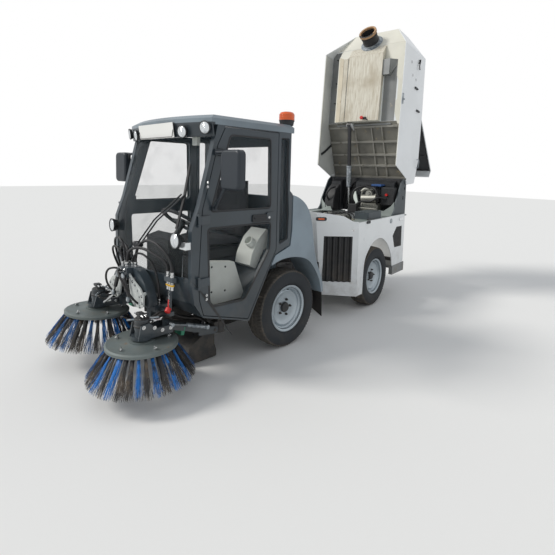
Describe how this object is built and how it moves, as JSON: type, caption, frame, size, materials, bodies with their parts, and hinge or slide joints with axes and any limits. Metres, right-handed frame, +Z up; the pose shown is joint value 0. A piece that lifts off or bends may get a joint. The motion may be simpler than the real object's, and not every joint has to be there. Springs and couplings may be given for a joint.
{
  "type": "compact road sweeper",
  "caption": "Articulated compact road sweeper with a glazed cab, front disc brushes on arms and a high-tipping waste hopper, shown with its hopper raised.",
  "frame": {"origin": "on the floor, midway between the outermost points of the machine as parked", "axes": "+Z up, +Y rearwards along the front module, +X to the machine's left"},
  "size_m": [1.83, 5.1761, 3.5222],
  "materials": {
    "cab_grey": "semi-gloss dark grey paint",
    "shell_grey": "moulded mid-grey panels",
    "roof_grey": "light grey roof moulding",
    "white": "gloss white paint",
    "cream": "cream paint",
    "glass": "lightly tinted safety glass",
    "tyre": "worn tread rubber",
    "rim": "silver paint",
    "chassis": "dark chassis paint",
    "galvanised": "galvanised sheet",
    "black_plastic": "black moulding",
    "grille": "black pleated grille",
    "brush": "blue and black bristles under a grey disc",
    "lamp": "clear lamp",
    "tail_lamp": "red lens",
    "amber": "amber lens",
    "plate": "blank reflective plate",
    "hose": "black hydraulic hose",
    "steel": "bright rod",
    "cylinder": "black cylinder",
    "seat": "dark seat cloth",
    "engine": "cast engine block",
    "duct": "black duct",
    "bumper": "grey bumper"
  },
  "bodies": {
    "front_module": {"front_chassis": "chassis", "arm_brackets": "chassis", "front_axle": "chassis", "cab_frame": "cab_grey", "cab_glass": "glass", "cab_roof": "roof_grey", "seat": "seat", "dashboard": "black_plastic", "front_wings": "shell_grey", "front_lamps": "lamp", "beacon": "amber", "number_plate": "plate", "wiper": "black_plastic", "carrier_frame": "cab_grey", "carrier_plates": "cream", "carrier_cylinders": "cylinder", "hose_outer": "hose", "hose_inner": "hose", "hose_right": "hose", "front_suction_pipe": "duct"},
    "rear_module": {"rear_chassis": "chassis", "rear_axle": "chassis", "rear_side_panels": "white", "nose_panel": "white", "body_grilles": "grille", "deck_uprights": "galvanised", "tail_panel": "white", "tail_lamps": "tail_lamp", "rear_bumper": "bumper", "engine": "engine", "air_box": "black_plastic", "rear_suction_pipe": "duct"},
    "hopper": {"hopper_shell": "white", "hopper_floor_box": "cream", "hopper_duct": "duct"},
    "hopper_door": {"hopper_door": "white"},
    "tip_barrel": {"tip_barrel": "cylinder"},
    "tip_rod": {"tip_rod": "steel"},
    "suction_mouth": {"suction_mouth": "chassis"},
    "door_left": {"door_left": "cab_grey", "door_glass_left": "glass", "mirror_left": "black_plastic"},
    "knuckle_left": {"arm_knuckle_left": "chassis"},
    "arm_left": {"brush_arm_left": "cab_grey"},
    "brush_left": {"brush_left": "brush"},
    "wheel_front_left": {"tyre_front_left": "tyre", "rim_front_left": "rim"},
    "wheel_rear_left": {"tyre_rear_left": "tyre", "rim_rear_left": "rim"},
    "door_right": {"door_right": "cab_grey", "door_glass_right": "glass", "mirror_right": "black_plastic"},
    "knuckle_right": {"arm_knuckle_right": "chassis"},
    "arm_right": {"brush_arm_right": "cab_grey"},
    "brush_right": {"brush_right": "brush"},
    "wheel_front_right": {"tyre_front_right": "tyre", "rim_front_right": "rim"},
    "wheel_rear_right": {"tyre_rear_right": "tyre", "rim_rear_right": "rim"}
  },
  "joints": [
    {"name": "articulation", "type": "hinge", "parent": "front_module", "child": "rear_module", "pos_m": [0, -0.315, 0.45], "axis": [0, 0, 1], "range_deg": [-44.5, 31.3]},
    {"name": "front_wheel_left", "type": "hinge", "parent": "front_module", "child": "wheel_front_left", "pos_m": [0.47, -0.888, 0.348], "axis": [1, 0, 0], "continuous": true},
    {"name": "rear_wheel_left", "type": "hinge", "parent": "rear_module", "child": "wheel_rear_left", "pos_m": [0.35339, 0.7214, 0.348], "axis": [0.9934, 0.1148, 0], "continuous": true},
    {"name": "door_left", "type": "hinge", "parent": "front_module", "child": "door_left", "pos_m": [0.614, -1.884, 1], "axis": [0, 0, -1], "range_deg": [0, 78]},
    {"name": "arm_swing_left", "type": "hinge", "parent": "front_module", "child": "knuckle_left", "pos_m": [0.385, -1.528, 0.3], "axis": [0, 0, 1], "range_deg": [0, 22]},
    {"name": "arm_lift_left", "type": "hinge", "parent": "knuckle_left", "child": "arm_left", "pos_m": [0.385, -1.6, 0.3], "axis": [-1, 0, 0], "range_deg": [0, 6]},
    {"name": "brush_spin_left", "type": "hinge", "parent": "arm_left", "child": "brush_left", "pos_m": [0.4, -2.205, 0.362], "axis": [0, 0, 1], "continuous": true},
    {"name": "front_wheel_right", "type": "hinge", "parent": "front_module", "child": "wheel_front_right", "pos_m": [-0.47, -0.888, 0.348], "axis": [1, 0, 0], "continuous": true},
    {"name": "rear_wheel_right", "type": "hinge", "parent": "rear_module", "child": "wheel_rear_right", "pos_m": [-0.5804, 0.61353, 0.348], "axis": [0.9934, 0.1148, 0], "continuous": true},
    {"name": "door_right", "type": "hinge", "parent": "front_module", "child": "door_right", "pos_m": [-0.614, -1.884, 1], "axis": [0, 0, 1], "range_deg": [0, 78]},
    {"name": "arm_swing_right", "type": "hinge", "parent": "front_module", "child": "knuckle_right", "pos_m": [-0.385, -1.528, 0.3], "axis": [0, 0, -1], "range_deg": [0, 22]},
    {"name": "arm_lift_right", "type": "hinge", "parent": "knuckle_right", "child": "arm_right", "pos_m": [-0.385, -1.6, 0.3], "axis": [-1, 0, 0], "range_deg": [-4, 2]},
    {"name": "brush_spin_right", "type": "hinge", "parent": "arm_right", "child": "brush_right", "pos_m": [-0.345, -2.20718, 0.40461], "axis": [0, 0.0698, 0.9976], "continuous": true},
    {"name": "mouth_lift", "type": "hinge", "parent": "front_module", "child": "suction_mouth", "pos_m": [0, -1.453, 0.205], "axis": [-1, 0, 0], "range_deg": [0, 6]},
    {"name": "hopper_tip", "type": "hinge", "parent": "rear_module", "child": "hopper", "pos_m": [-0.20967, 1.49993, 1.4665], "axis": [0.9934, 0.1148, 0], "range_deg": [0, 94.5]},
    {"name": "hopper_door_swing", "type": "hinge", "parent": "hopper", "child": "hopper_door", "pos_m": [-0.25915, 1.9282, 2.40958], "axis": [0.9934, 0.1148, 0], "range_deg": [-47.3, 0]},
    {"name": "tip_barrel_swing", "type": "hinge", "parent": "hopper", "child": "tip_barrel", "pos_m": [-0.38537, 1.27807, 2.21702], "axis": [0.9934, 0.1148, 0], "range_deg": [-58.32, 1]},
    {"name": "tip_rod_slide", "type": "slide", "parent": "tip_barrel", "child": "tip_rod", "axis": [-0.007, 0.0602, -0.9982], "range_m": [-0.78254, 0.002]}
  ],
  "couplings": [
    {"joint": "tip_barrel_swing", "follows": "hopper_tip", "ratio": -0.61185},
    {"joint": "tip_rod_slide", "follows": "hopper_tip", "m_per_rad": -0.47203}
  ]
}
